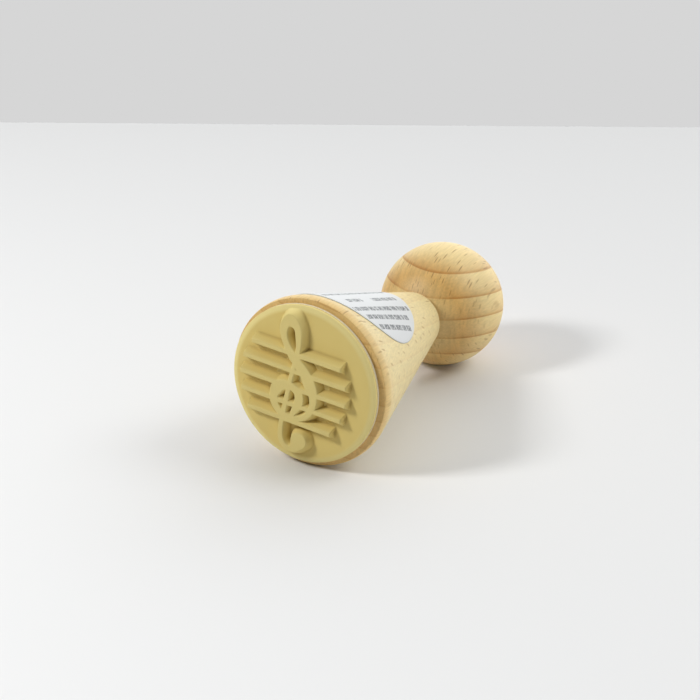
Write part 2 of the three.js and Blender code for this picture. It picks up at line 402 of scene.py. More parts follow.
def relief_tree():
    """Geometry nodes: lifts the face of the die where the staff lines and the clef's stroke run."""
    staff_sizes = ("Staff spacing", "Line width", "Staff reach", "Staff shift", "Staff drop")
    relief_sizes = ("Relief height", "Flank", "End flank", "Wear", "Design radius")
    tree, given = new_tree(
        "moulded relief",
        (
            ("Blank", "Geometry"),
            ("Clef", "Object"),
            ("Staff lines", "Int"),
            *((size, "Float") for size in staff_sizes + relief_sizes),
            ("Finish", "Material"),
        ),
    )
    place = add(tree, "GeometryNodeInputPosition")
    spot = add(tree, "ShaderNodeSeparateXYZ", {0: place}).outputs
    flat = add(tree, "ShaderNodeVectorMath", {0: place, 1: (1, 1, 0)}, operation="MULTIPLY")

    # A round dab at each point of the clef's stroke: the distance to the dabs is the distance to the stroke
    dab_sides = 32
    stroke = add(tree, "GeometryNodeObjectInfo", {"Object": given["Clef"]}).outputs["Geometry"]
    points = add(tree, "GeometryNodeCurveToPoints", {"Curve": stroke}, mode="EVALUATED").outputs["Points"]
    disc = add(tree, "GeometryNodeMeshCircle", {"Vertices": dab_sides, "Radius": 1}, fill_type="NGON")
    width = add(tree, "GeometryNodeInputRadius")
    dabs = add(
        tree, "GeometryNodeInstanceOnPoints", {"Points": points, "Instance": disc, "Scale": width}
    )
    inked = add(tree, "GeometryNodeRealizeInstances", {"Geometry": dabs})
    to_clef = add(
        tree, "GeometryNodeProximity", {0: inked, "Sample Position": flat}, target_element="FACES"
    ).outputs["Distance"]

    # The staff lines below and above each point, with square ends on a circle
    raised = add(tree, "ShaderNodeMath", {0: spot["Y"], 1: given["Staff drop"]}, operation="ADD")
    ladder = add(tree, "ShaderNodeMath", {0: raised, 1: given["Staff spacing"]}, operation="DIVIDE")
    outer = add(tree, "ShaderNodeMath", {0: given["Staff lines"], 1: 1}, operation="SUBTRACT")
    outer = add(tree, "ShaderNodeMath", {0: outer, 1: 0.5}, operation="MULTIPLY")
    lowest = add(tree, "ShaderNodeMath", {0: outer, 1: -1}, operation="MULTIPLY")
    half_width = add(tree, "ShaderNodeMath", {0: given["Line width"], 1: 0.5}, operation="MULTIPLY")
    reach_squared = add(tree, "ShaderNodeMath", {0: given["Staff reach"], 1: 2}, operation="POWER")
    sideways = add(tree, "ShaderNodeMath", {0: spot["X"], 1: given["Staff shift"]}, operation="SUBTRACT")
    sideways = add(tree, "ShaderNodeMath", {0: sideways}, operation="ABSOLUTE")
    end_steepness = add(
        tree, "ShaderNodeMath", {0: given["Flank"], 1: given["End flank"]}, operation="DIVIDE"
    )
    nearest = to_clef
    for rounding in ("FLOOR", "CEIL"):
        step = add(tree, "ShaderNodeMath", {0: ladder}, operation=rounding)
        step = add(tree, "ShaderNodeClamp", {"Value": step, "Min": lowest, "Max": outer})
        line = add(tree, "ShaderNodeMath", {0: step, 1: given["Staff spacing"]}, operation="MULTIPLY")
        level = add(tree, "ShaderNodeMath", {0: line, 1: given["Staff drop"]}, operation="SUBTRACT")
        level_squared = add(tree, "ShaderNodeMath", {0: level, 1: level}, operation="MULTIPLY")
        chord = add(tree, "ShaderNodeMath", {0: reach_squared, 1: level_squared}, operation="SUBTRACT")
        half_length = add(tree, "ShaderNodeMath", {0: chord}, operation="SQRT")
        past_end = add(tree, "ShaderNodeMath", {0: sideways, 1: half_length}, operation="SUBTRACT")
        past_end = add(tree, "ShaderNodeMath", {0: past_end, 1: end_steepness}, operation="MULTIPLY")
        off_line = add(tree, "ShaderNodeMath", {0: spot["Y"], 1: level}, operation="SUBTRACT")
        off_line = add(tree, "ShaderNodeMath", {0: off_line}, operation="ABSOLUTE")
        past_side = add(tree, "ShaderNodeMath", {0: off_line, 1: half_width}, operation="SUBTRACT")
        to_line = add(tree, "ShaderNodeMath", {0: past_end, 1: past_side}, operation="MAXIMUM")
        to_line = add(tree, "ShaderNodeMath", {0: to_line, 1: 0}, operation="MAXIMUM")
        nearest = add(
            tree, "ShaderNodeMath", {0: nearest, 1: to_line, 2: given["Wear"]}, operation="SMOOTH_MIN"
        )

    # Height as a share of the whole: 1 on the printing tops, falling evenly down the flanks, edges worn
    nearest = add(tree, "ShaderNodeMath", {0: nearest, 1: 0}, operation="MAXIMUM")
    wear_squared = add(tree, "ShaderNodeMath", {0: given["Wear"], 1: 2}, operation="POWER")
    fall = nearest
    for operation, amount in (
        ("MULTIPLY", nearest),
        ("ADD", wear_squared),
        ("POWER", 0.5),
        ("SUBTRACT", given["Wear"]),
        ("DIVIDE", given["Flank"]),
    ):
        fall = add(tree, "ShaderNodeMath", {0: fall, 1: amount}, operation=operation)
    height = add(tree, "ShaderNodeMath", {0: 1, 1: fall}, operation="SUBTRACT")
    foot_fillet = 0.12
    height = add(tree, "ShaderNodeMath", {0: height, 1: 0, 2: foot_fillet}, operation="SMOOTH_MAX")

    # A steep wall where the design runs out onto the sheet's bevelled edge
    wall_steepness = 3
    out = add(tree, "ShaderNodeVectorMath", {0: flat}, operation="LENGTH").outputs["Value"]
    room = add(tree, "ShaderNodeMath", {0: given["Design radius"], 1: out}, operation="SUBTRACT")
    for operation, amount in (("DIVIDE", given["Flank"]), ("MULTIPLY", wall_steepness), ("MAXIMUM", 0)):
        room = add(tree, "ShaderNodeMath", {0: room, 1: amount}, operation=operation)
    height = add(tree, "ShaderNodeMath", {0: height, 1: room}, operation="MINIMUM")

    lift = add(tree, "ShaderNodeMath", {0: height, 1: given["Relief height"]}, operation="MULTIPLY")
    offset = add(tree, "ShaderNodeCombineXYZ", {"Z": lift})

    # A point is in a valley where the design around it stands higher than itself: that share is stored as
    # painted shade for the rubber's valleys
    blur_steps = 60
    around = add(
        tree, "GeometryNodeBlurAttribute", {"Value": height, "Iterations": blur_steps}, data_type="FLOAT"
    )
    valley = add(tree, "ShaderNodeMath", {0: around, 1: height}, operation="SUBTRACT", use_clamp=True)
    marked = given["Blank"]
    for name, value in (("relief", height), ("valley", valley)):
        marked = add(
            tree,
            "GeometryNodeStoreNamedAttribute",
            {"Geometry": marked, "Name": name, "Value": value},
            data_type="FLOAT",
            domain="POINT",
        )
    lifted = add(tree, "GeometryNodeSetPosition", {"Geometry": marked, "Offset": offset})
    end_tree(tree, lifted, given["Finish"])
    return tree


def shaped(name, mesh, tree, inputs):
    """An object whose geometry nodes have been made a plain mesh. Inputs are given by their names."""
    piece = bpy.data.objects.new(name, mesh)
    bpy.context.scene.collection.objects.link(piece)
    nodes = piece.modifiers.new(tree.name, "NODES")
    nodes.node_group = tree
    for socket in tree.interface.items_tree:
        if socket.name in inputs:
            nodes[socket.identifier] = inputs[socket.name]
    graph = bpy.context.evaluated_depsgraph_get()
    plain = bpy.data.meshes.new_from_object(
        piece.evaluated_get(graph), preserve_all_data_layers=True, depsgraph=graph
    )
    piece.modifiers.clear()
    piece.data = plain
    plain.name = name
    return piece


def placed(piece, place):
    """Moves the mesh, not the object, to its place, with its faces pointing outwards."""
    shape = bmesh.new()
    shape.from_mesh(piece.data)
    shape.transform(place)
    bmesh.ops.recalc_face_normals(shape, faces=shape.faces)
    shape.to_mesh(piece.data)
    shape.free()
    return piece


def handed_in(piece, node):
    """Hides the model's part that a finished piece stands for, and puts the piece in the body."""
    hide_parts(node)
    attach(piece, BODY)
    return piece


def turned(name, profile, segments, finish):
    """A turned solid made from its profile."""
    outline = outline_object(name + "_outline", profile)
    piece = shaped(
        name,
        bpy.data.meshes.new(name),
        turning_tree(),
        {"Profile": outline, "Segments": segments, "Finish": finish},
    )
    bpy.data.objects.remove(outline)
    return piece


def new_material(name, surface):
    """A material with only its output and its shader, which has the surface's even values."""
    material = bpy.data.materials.new(name)
    material.use_nodes = True
    tree = material.node_tree
    tree.nodes.clear()
    shader = add(tree, "ShaderNodeBsdfPrincipled", surface)
    add(tree, "ShaderNodeOutputMaterial", {"Surface": shader})
    return material, tree, shader


def beech(handle, place):
    """Beech, turned and fine sanded under a thin satin lacquer.

    Each growth ring deepens from pale to orange and ends in a line, clear on the ball and faint on the
    taper. The ball's end grain is deeper in colour, and short dark rays lie along the fibres.
    Painted shade in an orange tone darkens the lip next to the die.
    """
    material, tree, shader = new_material("beech turned satin lacquer", {"IOR": 1.5, "Roughness": 0.5})
    spot = add(tree, "ShaderNodeTexCoord").outputs["Object"]

    # Rings are rounds about a pith that slants above the stamp, made uneven by slow noise
    pith = Vector((2.2, 22.5, 53.1)) * MM
    slant = Vector((-0.244, 1, -0.29)).normalized()
    drift_size = 26 * MM
    drift_reach = 1.2 * MM
    drift = add(tree, "ShaderNodeTexNoise", {"Vector": spot, "Scale": 1 / drift_size, "Detail": 1})
    from_pith = add(tree, "ShaderNodeVectorMath", {0: spot, 1: pith}, operation="SUBTRACT")
    across = add(tree, "ShaderNodeVectorMath", {0: from_pith, 1: slant}, operation="CROSS_PRODUCT")
    grown = add(tree, "ShaderNodeVectorMath", {0: across}, operation="LENGTH").outputs["Value"]
    grown = add(tree, "ShaderNodeMath", {0: drift, 1: drift_reach, 2: grown}, operation="MULTIPLY_ADD")
    year = add(tree, "ShaderNodeMath", {0: grown, 1: handle.first_ring}, operation="DIVIDE")
    year = add(tree, "ShaderNodeMath", {0: year, 1: 2}, operation="POWER")
    season = add(tree, "ShaderNodeMath", {0: year}, operation="FRACT")
    late = add(tree, "ShaderNodeValToRGB", {0: season})
    late.color_ramp.elements[0].position = 0.12
    late.color_ramp.elements[1].position = 0.96
    for position, tone in ((0.6, 0.17), (0.86, 0.44), (1.0, 0.05)):
        late.color_ramp.elements.new(position).color = (tone, tone, tone, 1)

    # Where the surface cuts across the fibres
    normal = add(tree, "ShaderNodeNewGeometry").outputs["Normal"]
    fibre = place.to_3x3() @ Vector((0, 1, 0))
    cut = add(tree, "ShaderNodeVectorMath", {0: normal, 1: fibre}, operation="DOT_PRODUCT").outputs["Value"]
    cut = add(tree, "ShaderNodeMath", {0: cut}, operation="ABSOLUTE")
    cut = add(
        tree,
        "ShaderNodeMapRange",
        {"Value": cut, "From Min": 0.22, "From Max": 0.8},
        interpolation_type="SMOOTHSTEP",
    )

    # Rings show on the ball and on end grain, and only faintly along the taper
    shoulder = place @ Vector((0, taper_ends(handle)[1][1], 0))
    ball_start = shoulder.y + 4 * MM
    along = add(tree, "ShaderNodeSeparateXYZ", {0: spot}).outputs["Y"]
    on_ball = add(
        tree,
        "ShaderNodeMapRange",
        {"Value": along, "From Min": shoulder.y, "From Max": ball_start, "To Min": 0.15, "To Max": 0.9},
    )
    on_end = add(tree, "ShaderNodeMath", {0: cut, 1: 0.5}, operation="MULTIPLY")
    ring_show = add(tree, "ShaderNodeMath", {0: on_ball, 1: on_end}, operation="MAXIMUM")
    ring_tone = add(tree, "ShaderNodeMath", {0: late, 1: ring_show}, operation="MULTIPLY")
    # The ball's early wood is more orange than the taper's and painted lighter, as painted light for the
    # brighter light it catches
    wood = add(
        tree,
        "ShaderNodeMix",
        {0: on_ball, 6: (*handle.pale_wood, 1), 7: (*handle.ball_wood_lit, 1)},
        data_type="RGBA",
    ).outputs[2]

    # Painted shade next to the die, in the lip's orange end-grain tone: darkest on the front face and the
    # lip, fading out along the taper
    die_shade_reach = 5 * MM
    behind = add(tree, "ShaderNodeVectorMath", {0: spot, 1: place.translation}, operation="SUBTRACT")
    behind = add(
        tree, "ShaderNodeVectorMath", {0: behind, 1: fibre}, operation="DOT_PRODUCT"
    ).outputs["Value"]
    behind = add(tree, "ShaderNodeMath", {0: behind, 1: die_shade_reach}, operation="DIVIDE")
    die_shade = add(tree, "ShaderNodeValToRGB", {0: behind})
    die_shade.color_ramp.elements[0].color = (0.65, 0.65, 0.65, 1)
    die_shade.color_ramp.elements[1].color = (0, 0, 0, 1)
    for position, tone in ((0.2, 0.52), (0.44, 0.2)):
        die_shade.color_ramp.elements.new(position).color = (tone, tone, tone, 1)
    for where, tone in ((die_shade, handle.rim_shade_wood), (ring_tone, handle.ring_wood)):
        wood = add(tree, "ShaderNodeMix", {0: where, 6: wood, 7: (*tone, 1)}, data_type="RGBA").outputs[2]

    # The ball's end grain is deeper in colour, with a faint figure of streaks that run up towards the pith
    end_depth = 0.72
    end_share = add(tree, "ShaderNodeMath", {0: on_ball, 1: end_depth}, operation="MULTIPLY")
    end_share = add(tree, "ShaderNodeMath", {0: cut, 1: end_share}, operation="MULTIPLY")
    figure_size = Vector((0.75, 6, 8)) * MM
    upright = add(tree, "ShaderNodeVectorMath", {0: spot, 1: figure_size}, operation="DIVIDE")
    figure = add(tree, "ShaderNodeTexNoise", {"Vector": upright, "Scale": 1, "Detail": 1})
    figure_tone = add(
        tree,
        "ShaderNodeMapRange",
        {"Value": figure, "From Min": 0.35, "From Max": 0.65, "To Min": 0.8, "To Max": 1.06},
    )

    # Fibres run along the handle, drawn coarser than they are so that they show
    fibre_size = Vector((0.35, 7, 0.35)) * MM
    fibres = add(tree, "ShaderNodeVectorMath", {0: spot, 1: fibre_size}, operation="DIVIDE")
    streak = add(tree, "ShaderNodeTexNoise", {"Vector": fibres, "Scale": 1, "Detail": 3})
    streak_tone = add(
        tree,
        "ShaderNodeMapRange",
        {"Value": streak, "From Min": 0.3, "From Max": 0.7, "To Min": 0.9, "To Max": 1.05},
    )
    for where, tone in ((end_share, (*handle.end_grain, 1)), (end_share, figure_tone), (1, streak_tone)):
        wood = add(
            tree, "ShaderNodeMix", {0: where, 6: wood, 7: tone}, data_type="RGBA", blend_type="MULTIPLY"
        ).outputs[2]

    # Rays are thin ribbons along the fibres and up towards the pith, clear on faces that look that way
    ray_size = Vector((0.55, 5.5, 2.6)) * MM
    upward = add(tree, "ShaderNodeSeparateXYZ", {0: normal}).outputs["Z"]
    upward = add(tree, "ShaderNodeMath", {0: upward}, operation="ABSOLUTE")
    ray_show = add(
        tree,
        "ShaderNodeMapRange",
        {"Value": upward, "From Min": 0.1, "From Max": 0.7, "To Min": 0.22, "To Max": 0.72},
    )
    ribbons = add(tree, "ShaderNodeVectorMath", {0: spot, 1: ray_size}, operation="DIVIDE")
    cell = add(tree, "ShaderNodeTexVoronoi", {"Vector": ribbons, "Scale": 1})
    ray = add(
        tree,
        "ShaderNodeMapRange",
        {"Value": cell, "From Min": 0.14, "From Max": 0.27, "To Min": 1, "To Max": 0},
    )
    ray = add(tree, "ShaderNodeMath", {0: ray, 1: ray_show}, operation="MULTIPLY")
    wood = add(
        tree, "ShaderNodeMix", {0: ray, 6: wood, 7: (*handle.ray_wood, 1)}, data_type="RGBA"
    ).outputs[2]
    tree.links.new(wood, shader.inputs["Base Color"])

    grain = add(tree, "ShaderNodeMath", {0: streak, 1: ray}, operation="SUBTRACT")
    pore_depth = 0.05 * MM
    bump = add(tree, "ShaderNodeBump", {"Height": grain, "Strength": 0.25, "Distance": pore_depth})
    tree.links.new(bump.outputs[0], shader.inputs["Normal"])
    return material


def natural_rubber(die):
    """Natural rubber, moulded: a matt tan skin with faint clouding, painted shade in the valleys, and a
    paler bevel that is partly painted light.
    """
    material, tree, shader = new_material(
        "natural rubber moulded", {"IOR": 1.52, "Roughness": 0.68, "Specular IOR Level": 0.35}
    )
    spot = add(tree, "ShaderNodeTexCoord").outputs["Object"]
    relief = add(tree, "ShaderNodeAttribute", attribute_name="relief").outputs["Fac"]
    cloud_size = 5 * MM
    cloud_show = 0.35
    cloud_middle = 0.18
    cloud = add(tree, "ShaderNodeTexNoise", {"Vector": spot, "Scale": 1 / cloud_size, "Detail": 4})
    top = add(
        tree,
        "ShaderNodeMapRange",
        {"Value": relief, "From Min": 0.02, "From Max": 0.9, "To Min": 0.35, "To Max": 1},
    )
    top = add(tree, "ShaderNodeMath", {0: cloud, 1: cloud_show, 2: top}, operation="MULTIPLY_ADD")
    top = add(tree, "ShaderNodeMath", {0: top, 1: cloud_middle}, operation="SUBTRACT", use_clamp=True)
    skin = add(
        tree, "ShaderNodeMix", {0: top, 6: (*die.rubber_deep, 1), 7: (*die.rubber, 1)}, data_type="RGBA"
    ).outputs[2]
    # Painted shade: the narrow valleys are darkened towards a deep tan
    valley = add(tree, "ShaderNodeAttribute", attribute_name="valley").outputs["Fac"]
    valley = add(tree, "ShaderNodeMapRange", {"Value": valley, "From Min": 0.05, "From Max": 0.45})
    # The bevel is painted paler: partly the trimmed edge's own colour, partly painted light
    edge = add(tree, "ShaderNodeAttribute", attribute_name="edge").outputs["Fac"]
    for where, tone in ((valley, die.painted_hollow_shade), (edge, die.rubber_edge_lit)):
        skin = add(tree, "ShaderNodeMix", {0: where, 6: skin, 7: (*tone, 1)}, data_type="RGBA").outputs[2]
    tree.links.new(skin, shader.inputs["Base Color"])

    # The mould's fine grit, drawn coarser than it is so that it shows
    grit_size = 0.25 * MM
    grit_depth = 0.04 * MM
    grit = add(tree, "ShaderNodeTexNoise", {"Vector": spot, "Scale": 1 / grit_size, "Detail": 2})
    bump = add(tree, "ShaderNodeBump", {"Height": grit, "Strength": 0.12, "Distance": grit_depth})
    tree.links.new(bump.outputs[0], shader.inputs["Normal"])
    return material


def closed_cell_foam(die):
    """Closed-cell foam, die cut: off-white and matt, with small cells open along the cut edge."""
    material, tree, shader = new_material("polyethylene foam die cut", {"IOR": 1.5, "Roughness": 0.85})
    spot = add(tree, "ShaderNodeTexCoord").outputs["Object"]
    cell_size = 0.3 * MM
    cell_depth = 0.08 * MM
    cell = add(tree, "ShaderNodeTexVoronoi", {"Vector": spot, "Scale": 1 / cell_size})
    shade = add(tree, "ShaderNodeMapRange", {"Value": cell, "From Max": 0.6, "To Min": 0.86, "To Max": 1})
    skin = add(
        tree,
        "ShaderNodeMix",
        {0: 1, 6: (*die.foam, 1), 7: shade},
        data_type="RGBA",
        blend_type="MULTIPLY",
    ).outputs[2]
    tree.links.new(skin, shader.inputs["Base Color"])
    bump = add(tree, "ShaderNodeBump", {"Height": cell, "Strength": 0.4, "Distance": cell_depth})
    tree.links.new(bump.outputs[0], shader.inputs["Normal"])
    return material


def printed_paper(label):
    """Coated paper, printed grey: smooth and cool white, with rows of short speckled bars."""
    material, tree, shader = new_material("coated paper printed grey", {"IOR": 1.5, "Roughness": 0.5})
    flat = add(tree, "ShaderNodeUVMap", uv_map="label_flat")
    from_centre = add(tree, "ShaderNodeVectorMath", {0: flat, 1: (0.5, 0.5, 0)}, operation="SUBTRACT")
    sizes = add(tree, "ShaderNodeVectorMath", {0: from_centre, 3: label.diameter}, operation="SCALE")
    spot = add(tree, "ShaderNodeSeparateXYZ", {0: sizes}).outputs
    row_number = None
    for number, (across, start, end) in enumerate(PRINTED_ROWS, 1):
        in_row = add(
            tree,
            "ShaderNodeMath",
            {0: spot["Y"], 1: across * MM, 2: label.row_height / 2},
            operation="COMPARE",
        )
        in_span = add(
            tree,
            "ShaderNodeMath",
            {0: spot["X"], 1: (start + end) / 2 * MM, 2: (end - start) / 2 * MM},
            operation="COMPARE",
        )
        printed = add(tree, "ShaderNodeMath", {0: in_row, 1: in_span}, operation="MULTIPLY")
        numbered = add(tree, "ShaderNodeMath", {0: printed, 1: number}, operation="MULTIPLY")
        if row_number is None:
            row_number = numbered
        else:
            row_number = add(tree, "ShaderNodeMath", {0: row_number, 1: numbered}, operation="MAXIMUM")

    # Each row is broken into bars of uneven length, unlike the next row's, and speckled
    row_shift = 7.3
    bars = add(tree, "ShaderNodeMath", {0: spot["X"], 1: label.bar_length}, operation="DIVIDE")
    bars = add(tree, "ShaderNodeMath", {0: row_number, 1: row_shift, 2: bars}, operation="MULTIPLY_ADD")
    gap = add(
        tree,
        "ShaderNodeTexVoronoi",
        {"W": bars, "Scale": 1},
        voronoi_dimensions="1D",
        feature="DISTANCE_TO_EDGE",
    ).outputs["Distance"]
    solid = add(tree, "ShaderNodeMapRange", {"Value": gap, "From Min": 0.05, "From Max": 0.09})
    on_row = add(tree, "ShaderNodeMath", {0: row_number, 1: 0.5}, operation="GREATER_THAN")
    ink = add(tree, "ShaderNodeMath", {0: on_row, 1: solid}, operation="MULTIPLY")
    speckle_size = 0.5 * MM
    speckle = add(tree, "ShaderNodeTexNoise", {"Vector": sizes, "Scale": 1 / speckle_size, "Detail": 0})
    speckle = add(
        tree,
        "ShaderNodeMapRange",
        {"Value": speckle, "From Min": 0.35, "From Max": 0.65, "To Min": 0.4, "To Max": 1},
    )
    ink = add(tree, "ShaderNodeMath", {0: ink, 1: speckle}, operation="MULTIPLY")
    face = add(
        tree,
        "ShaderNodeMix",
        {0: ink, 6: (*label.paper, 1), 7: (*label.print_grey, 1)},
        data_type="RGBA",
    ).outputs[2]
    tree.links.new(face, shader.inputs["Base Color"])
    return material


def matt_floor(stage):
    """Matt painted board: plain, pale and even."""
    material, _, _ = new_material(
        "board painted matt white",
        {"Base Color": (*stage.floor, 1), "Roughness": 0.8, "Specular IOR Level": 0.2},
    )
    return material


def clef_curve(die):
    """The clef's stroke as a smooth curve through its points, with half the stroke's width as radius."""
    knots = np.array(CLEF_STROKE) * die.staff_spacing
    knots[:, 1] -= die.staff_drop
    before = 2 * knots[0] - knots[1]
    after = 2 * knots[-1] - knots[-2]
    guide = np.vstack((before, knots, after))
    times = np.concatenate(([0], np.cumsum(np.sqrt(np.linalg.norm(np.diff(guide, axis=0), axis=1)))))
    dabs = [knots[0]]
    for i in range(1, len(guide) - 2):
        p0, p1, p2, p3 = guide[i - 1:i + 3]
        t0, t1, t2, t3 = times[i - 1:i + 3]
        for t in np.linspace(t1, t2, CLEF_DABS_PER_STRETCH + 1)[1:]:
            a = p0 + (p1 - p0) * (t - t0) / (t1 - t0)
            b = p1 + (p2 - p1) * (t - t1) / (t2 - t1)
            c = p2 + (p3 - p2) * (t - t2) / (t3 - t2)
            d = a + (b - a) * (t - t0) / (t2 - t0)
            e = b + (c - b) * (t - t1) / (t3 - t1)
            dabs.append(d + (e - d) * (t - t1) / (t2 - t1))
    curve = bpy.data.curves.new("clef_stroke", "CURVE")
    curve.dimensions = "3D"
    spline = curve.splines.new("POLY")
    spline.points.add(len(dabs) - 1)
    for point, (across, up, width) in zip(spline.points, dabs):
        point.co = (across, up, 0, 1)
        point.radius = width / 2
    return bpy.data.objects.new("clef_stroke", curve)


def disc_grid(radius, cells):
    """Points and quads of a round sheet: a square grid pushed out to a circle, and its border in order."""
    line = np.linspace(-1, 1, cells + 1)
    u, v = np.meshgrid(line, line, indexing="ij")
    points = radius * np.column_stack(
        ((u * np.sqrt(1 - v ** 2 / 2)).ravel(), (v * np.sqrt(1 - u ** 2 / 2)).ravel())
    )
    index = np.arange((cells + 1) ** 2).reshape(cells + 1, cells + 1)
    quads = np.stack((index[:-1, :-1], index[1:, :-1], index[1:, 1:], index[:-1, 1:]), axis=-1)
    border = np.concatenate((index[:-1, 0], index[-1, :-1], index[:0:-1, -1], index[0, :0:-1]))
    return points, quads.reshape(-1, 4), border


def die_blank(handle, die):
    """The rubber sheet before its design is raised: a fine face, a bevelled edge and a plain back."""
    bevel_steps = 9
    corner_steps = 6
    bevel_swell = 1.7
    rounding = 0.18 * MM
    radius = handle.rim_diameter / 2 - die.inset
    design_radius = radius - die.design_margin
    flat_radius = radius - die.bevel_width

    def level(out):
        """Height of the sheet's front at a distance from its centre. The bevel steepens outwards."""
        gone = np.clip((out - flat_radius) / (radius - rounding - flat_radius), 0, 1)
        return die.rubber_thickness - die.bevel_depth * gone ** bevel_swell

    points, quads, border = disc_grid(design_radius, die.cells)
    vertices = [np.column_stack((points, level(np.hypot(*points.T))))]
    faces = quads.tolist()
    outwards = points[border] / design_radius
    reaches = np.linspace(design_radius, radius - rounding, bevel_steps)[1:]
    foot = die.rubber_thickness - die.bevel_depth - rounding
    roll = np.linspace(math.pi / 4, math.pi / 2, corner_steps)
    corner = zip(radius - rounding * (1 - np.sin(roll)), foot + rounding * np.cos(roll))
    rings = [*zip(reaches, level(reaches)), *corner, (radius, 0)]
    loop = border
    for reach, height in rings:
        first = sum(map(len, vertices))
        vertices.append(np.column_stack((outwards * reach, np.full(len(border), height))))
        next_loop = np.arange(first, first + len(border))
        faces += np.column_stack((loop, next_loop, np.roll(next_loop, -1), np.roll(loop, -1))).tolist()
        loop = next_loop
    centre = sum(map(len, vertices))
    vertices.append(np.zeros((1, 3)))
    faces += [(a, centre, b) for a, b in zip(loop, np.roll(loop, -1))]
    vertices = np.vstack(vertices)
    mesh = bpy.data.meshes.new("rubber_blank")
    mesh.from_pydata(vertices, [], faces)
    # Share of the paler bevel, rising over its inner half: the trimmed edge's own colour, and painted light
    # on the bevel
    lit_bevel_ends = (flat_radius, flat_radius + die.bevel_width / 2)
    lit_bevel = np.interp(np.hypot(vertices[:, 0], vertices[:, 1]), lit_bevel_ends, (0, 1))
    mesh.attributes.new("edge", "FLOAT", "POINT").data.foreach_set("value", lit_bevel)
    return mesh, design_radius


def label_sheet(handle, label):
    """The label's printed face, bent over the taper so that distances on the paper stay true."""
    (wide, start), (narrow, _) = taper_ends(handle)
    slope = math.atan2(wide - narrow, handle.taper_length)
    apex = start + wide / math.tan(slope)
    from_apex = wide / math.sin(slope) - label.margin - label.diameter / 2
    points, quads, _ = disc_grid(label.diameter / 2, label.cells)
    across, down = points.T
    slant = np.hypot(from_apex + down, across)
    turn = label.turn + np.arctan2(across, from_apex + down) / math.sin(slope)
    along = apex - slant * math.cos(slope) + label.thickness * math.sin(slope)
    reach = taper_radius(handle, along) + label.thickness / math.cos(slope)
    places = np.column_stack((reach * np.sin(turn), along, reach * np.cos(turn)))
    mesh = bpy.data.meshes.new("label")
    mesh.from_pydata(places, [], quads)
    flat = mesh.uv_layers.new(name="label_flat")
    corners = points[quads.ravel()][:, ::-1] / label.diameter + 0.5
    flat.data.foreach_set("uv", corners.ravel())
    mesh.polygons.foreach_set("use_smooth", [True] * len(mesh.polygons))
    return mesh


class HANDSTAMP_OT_handle(bpy.types.Operator):
    """Turn the handle from one piece of beech"""

    bl_idname = "hand_stamp.handle"
    bl_label = "Turn Handle"

    def execute(self, context):
        handle = context.scene.hand_stamp.handle
        place = stamp_place()
        piece = turned("handle_turned", handle_profile(handle), handle.segments, beech(handle, place))
        placed(piece, place)
        handed_in(piece, "handle")
        return {"FINISHED"}


class HANDSTAMP_OT_foam(bpy.types.Operator):
    """Cut the foam disc that cushions the die"""

    bl_idname = "hand_stamp.foam"
    bl_label = "Cut Foam"

    def execute(self, context):
        stamp = context.scene.hand_stamp
        profile = foam_profile(stamp.handle, stamp.die)
        piece = turned("foam_disc", profile, stamp.handle.segments, closed_cell_foam(stamp.die))
        placed(piece, stamp_place() @ Matrix.Translation((stamp.die.shift, 0, 0)))
        handed_in(piece, "foam_cushion")
        return {"FINISHED"}


class HANDSTAMP_OT_die(bpy.types.Operator):
    """Mould the rubber die with its raised staff and clef"""

    bl_idname = "hand_stamp.die"
    bl_label = "Mould Die"

    def execute(self, context):
        stamp = context.scene.hand_stamp
        die = stamp.die
        blank, design_radius = die_blank(stamp.handle, die)
        clef = clef_curve(die)
        piece = shaped(
            "rubber_relief",
            blank,
            relief_tree(),
            {
                "Clef": clef,
                "Staff lines": die.staff_lines,
                "Staff spacing": die.staff_spacing,
                "Line width": die.staff_line_width,
                "Staff reach": die.staff_reach,
                "Staff shift": die.staff_shift,
                "Staff drop": die.staff_drop,
                "Relief height": die.relief_height,
                "Flank": die.relief_flank,
                "End flank": die.end_flank,
                "Wear": die.relief_wear,
                "Design radius": design_radius,
                "Finish": natural_rubber(die),
            },
        )
        bpy.data.objects.remove(clef)
        bpy.data.meshes.remove(blank)
        upright = Matrix.Rotation(math.pi / 2, 4, "X") @ Matrix.Rotation(die.design_turn, 4, "Z")
        stuck_on = Matrix.Translation((die.shift, -die.foam_thickness, 0))
        placed(piece, stamp_place() @ stuck_on @ upright)
        handed_in(piece, "rubber_die")
        return {"FINISHED"}


class HANDSTAMP_OT_label(bpy.types.Operator):
    """Stick the paper label on the taper"""

    bl_idname = "hand_stamp.label"
    bl_label = "Stick Label"

    def execute(self, context):
        stamp = context.scene.hand_stamp
        piece = bpy.data.objects.new("paper_label", label_sheet(stamp.handle, stamp.label))
        context.scene.collection.objects.link(piece)
        placed(piece, stamp_place())
        paper = piece.modifiers.new("paper thickness", "SOLIDIFY")
        paper.thickness = stamp.label.thickness
        paper.offset = -1
        piece.data.materials.append(printed_paper(stamp.label))
        graph = context.evaluated_depsgraph_get()
        piece_mesh = bpy.data.meshes.new_from_object(piece.evaluated_get(graph), depsgraph=graph)
        piece.modifiers.clear()
        piece.data = piece_mesh
        handed_in(piece, "label")
        return {"FINISHED"}


